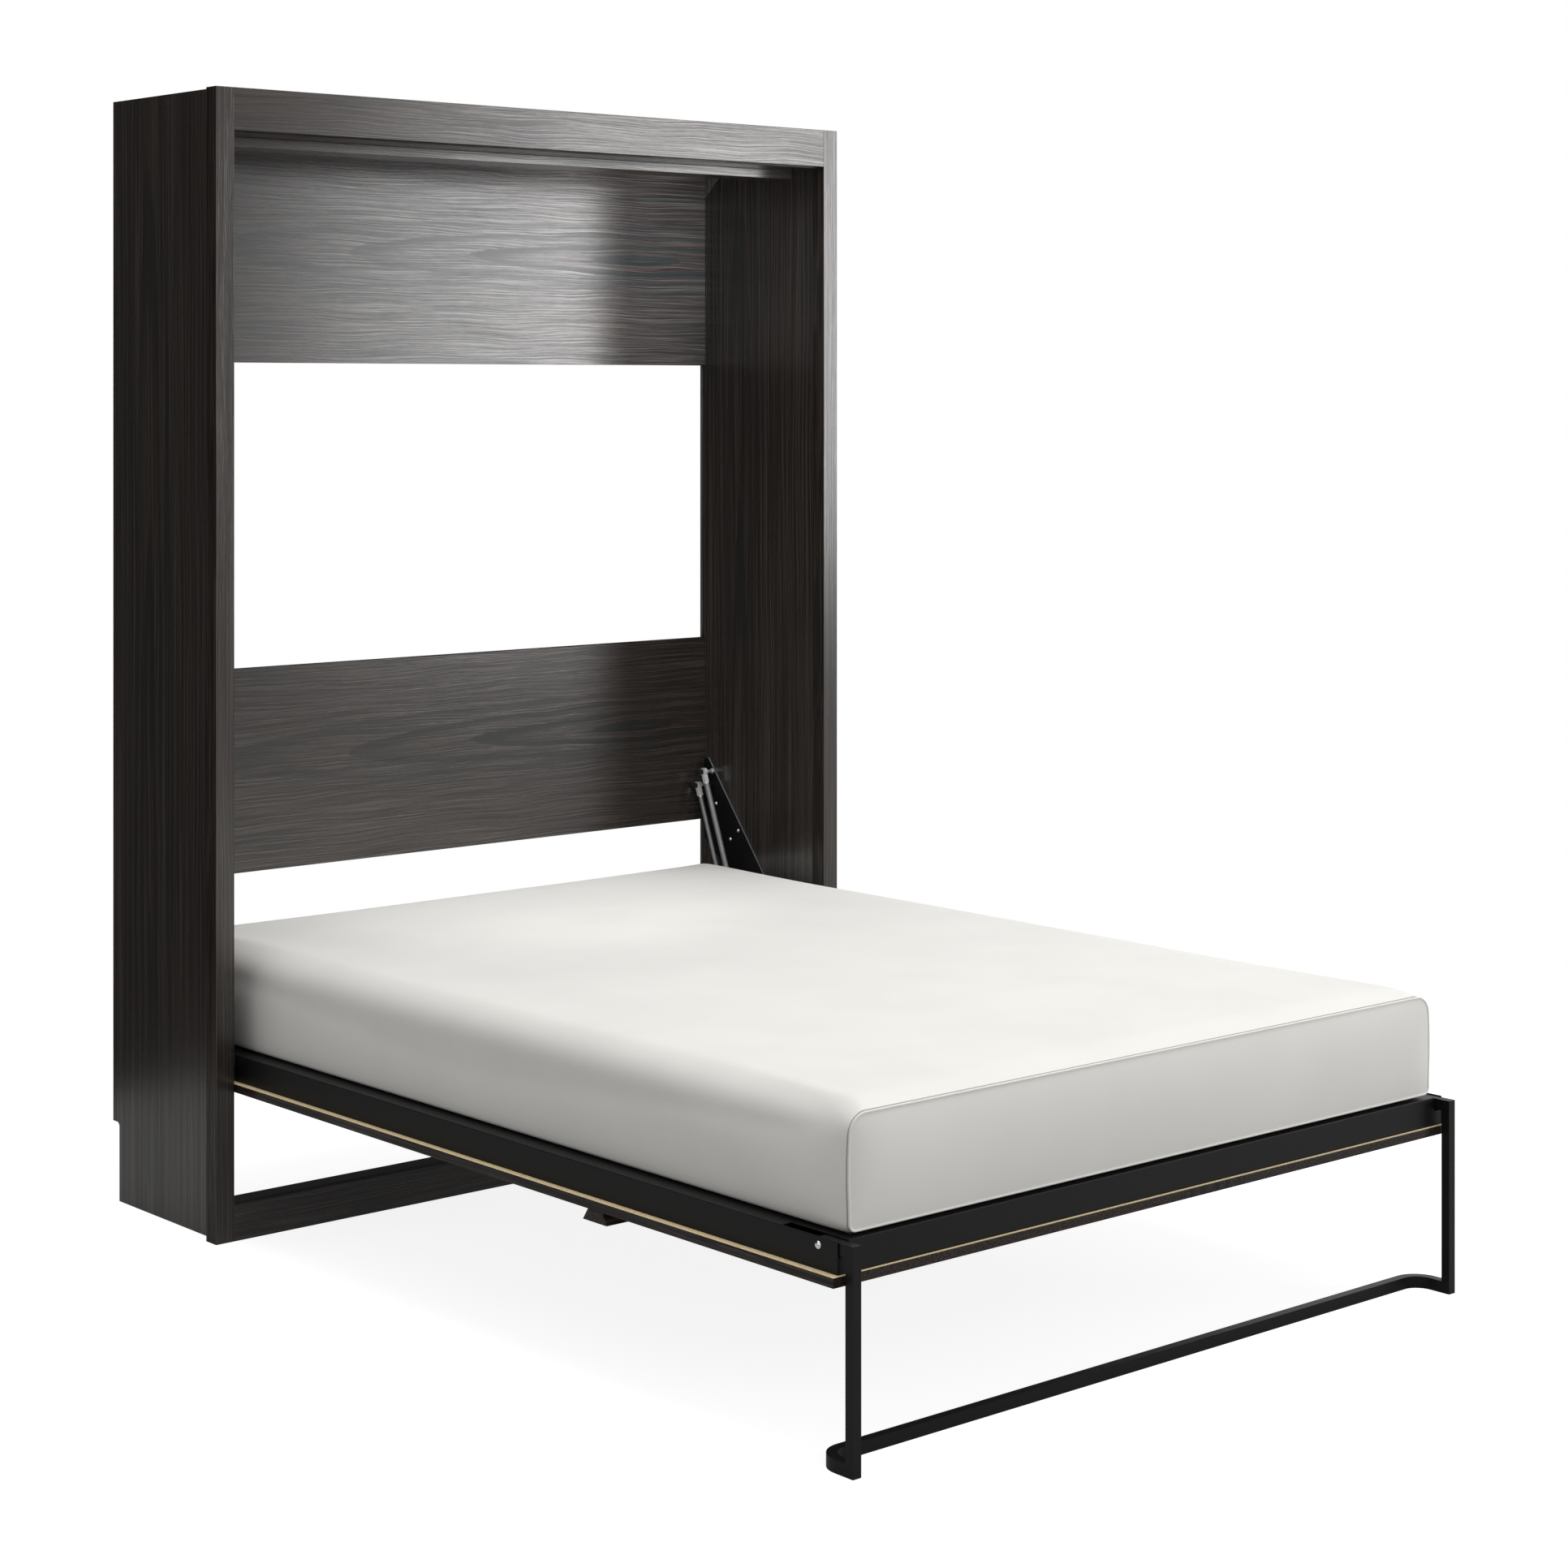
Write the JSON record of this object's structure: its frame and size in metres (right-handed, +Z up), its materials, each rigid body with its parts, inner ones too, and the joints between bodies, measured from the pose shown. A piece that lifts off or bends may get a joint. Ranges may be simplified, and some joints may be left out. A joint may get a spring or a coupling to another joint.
{
  "type": "wall bed",
  "caption": "Upright dark wood cabinet with a fold-down bed: steel frame, mattress, gas springs and a folding foot frame.",
  "frame": {"origin": "floor level, centre of the open bed's footprint, so the wall plane is at y = +1.1125 m and the centre plane is x = 0", "axes": "+Z up, +Y towards the wall, +X to the right for someone facing the cabinet"},
  "size_m": [1.629, 2.225, 2.264],
  "materials": {
    "espresso_laminate": "satin",
    "black_steel": "satin",
    "zinc_steel": "satin",
    "chrome_steel": "polished",
    "spring_tube": "satin",
    "pine": "matte",
    "mattress_cover": "soft",
    "nylon": "satin",
    "black_plastic": "matte"
  },
  "bodies": {
    "cabinet": {"left_stile": "espresso_laminate", "right_stile": "espresso_laminate", "left_side_panel": "espresso_laminate", "right_side_panel": "espresso_laminate", "fascia": "espresso_laminate", "top_board": "espresso_laminate", "stop_batten": "espresso_laminate", "upper_back_panel": "espresso_laminate", "lower_back_panel": "espresso_laminate", "toe_rail": "espresso_laminate", "toe_rail_shelf": "espresso_laminate", "cam_locks": "zinc_steel", "cam_bolts": "zinc_steel", "stile_dowels": "pine", "wall_brackets": "zinc_steel", "bracket_screws": "zinc_steel", "left_pivot_plate": "black_steel", "right_pivot_plate": "black_steel", "plate_screws": "zinc_steel", "spring_pins": "zinc_steel", "spring_pin_caps": "black_plastic", "pivot_pins": "zinc_steel"},
    "bed": {"face_panel": "espresso_laminate", "handle_moulding": "espresso_laminate", "left_side_rail": "black_steel", "right_side_rail": "black_steel", "foot_rail": "black_steel", "head_rail": "black_steel", "centre_rail": "black_steel", "slat_ledges": "black_steel", "slats": "pine", "slat_screws": "zinc_steel", "mattress_stop": "black_steel", "mattress": "mattress_cover", "left_hinge_plate": "black_steel", "right_hinge_plate": "black_steel", "hinge_bolts": "zinc_steel", "pivot_bushes": "nylon", "leg_bolts": "chrome_steel", "leg_stops": "black_steel"},
    "foot_frame": {"left_leg": "black_steel", "right_leg": "black_steel", "foot_bar": "black_steel"},
    "left_front_cylinder": {"left_front_tube": "spring_tube", "left_front_eye": "zinc_steel"},
    "left_front_piston": {"left_front_rod": "chrome_steel", "left_front_rod_end": "zinc_steel"},
    "left_rear_cylinder": {"left_rear_tube": "spring_tube", "left_rear_eye": "zinc_steel"},
    "left_rear_piston": {"left_rear_rod": "chrome_steel", "left_rear_rod_end": "zinc_steel"},
    "right_front_cylinder": {"right_front_tube": "spring_tube", "right_front_eye": "zinc_steel"},
    "right_front_piston": {"right_front_rod": "chrome_steel", "right_front_rod_end": "zinc_steel"},
    "right_rear_cylinder": {"right_rear_tube": "spring_tube", "right_rear_eye": "zinc_steel"},
    "right_rear_piston": {"right_rear_rod": "chrome_steel", "right_rear_rod_end": "zinc_steel"}
  },
  "joints": [
    {"name": "bed_fold", "type": "hinge", "parent": "cabinet", "child": "bed", "pos_m": [0, 0.719, 0.3425], "axis": [-1, 0, 0], "range_deg": [0, 90]},
    {"name": "leg_fold", "type": "hinge", "parent": "bed", "child": "foot_frame", "pos_m": [0, -1.0355, 0.3455], "axis": [-1, 0, 0], "range_deg": [0, 180]},
    {"name": "left_front_spring_tilt", "type": "hinge", "parent": "cabinet", "child": "left_front_cylinder", "pos_m": [0, 1.0615, 0.762], "axis": [-1, 0, 0], "range_deg": [0, 9.43]},
    {"name": "left_front_spring_stroke", "type": "slide", "parent": "left_front_cylinder", "child": "left_front_piston", "axis": [0, -0.3566, -0.9342], "range_m": [0, 0.2368]},
    {"name": "left_rear_spring_tilt", "type": "hinge", "parent": "cabinet", "child": "left_rear_cylinder", "pos_m": [0, 1.0835, 0.728], "axis": [-1, 0, 0], "range_deg": [0, 11.14]},
    {"name": "left_rear_spring_stroke", "type": "slide", "parent": "left_rear_cylinder", "child": "left_rear_piston", "axis": [0, -0.3514, -0.9362], "range_m": [0, 0.28842]},
    {"name": "right_front_spring_tilt", "type": "hinge", "parent": "cabinet", "child": "right_front_cylinder", "pos_m": [0, 1.0615, 0.762], "axis": [-1, 0, 0], "range_deg": [0, 9.43]},
    {"name": "right_front_spring_stroke", "type": "slide", "parent": "right_front_cylinder", "child": "right_front_piston", "axis": [0, -0.3566, -0.9342], "range_m": [0, 0.2368]},
    {"name": "right_rear_spring_tilt", "type": "hinge", "parent": "cabinet", "child": "right_rear_cylinder", "pos_m": [0, 1.0835, 0.728], "axis": [-1, 0, 0], "range_deg": [0, 11.14]},
    {"name": "right_rear_spring_stroke", "type": "slide", "parent": "right_rear_cylinder", "child": "right_rear_piston", "axis": [0, -0.3514, -0.9362], "range_m": [0, 0.28842]}
  ],
  "couplings": [
    {"joint": "left_front_spring_tilt", "follows": "bed_fold", "ratio": 0.1045},
    {"joint": "left_front_spring_stroke", "follows": "bed_fold", "m_per_rad": 0.15069},
    {"joint": "left_rear_spring_tilt", "follows": "bed_fold", "ratio": 0.12356},
    {"joint": "left_rear_spring_stroke", "follows": "bed_fold", "m_per_rad": 0.18355},
    {"joint": "right_front_spring_tilt", "follows": "bed_fold", "ratio": 0.1045},
    {"joint": "right_front_spring_stroke", "follows": "bed_fold", "m_per_rad": 0.15069},
    {"joint": "right_rear_spring_tilt", "follows": "bed_fold", "ratio": 0.12356},
    {"joint": "right_rear_spring_stroke", "follows": "bed_fold", "m_per_rad": 0.18355}
  ]
}
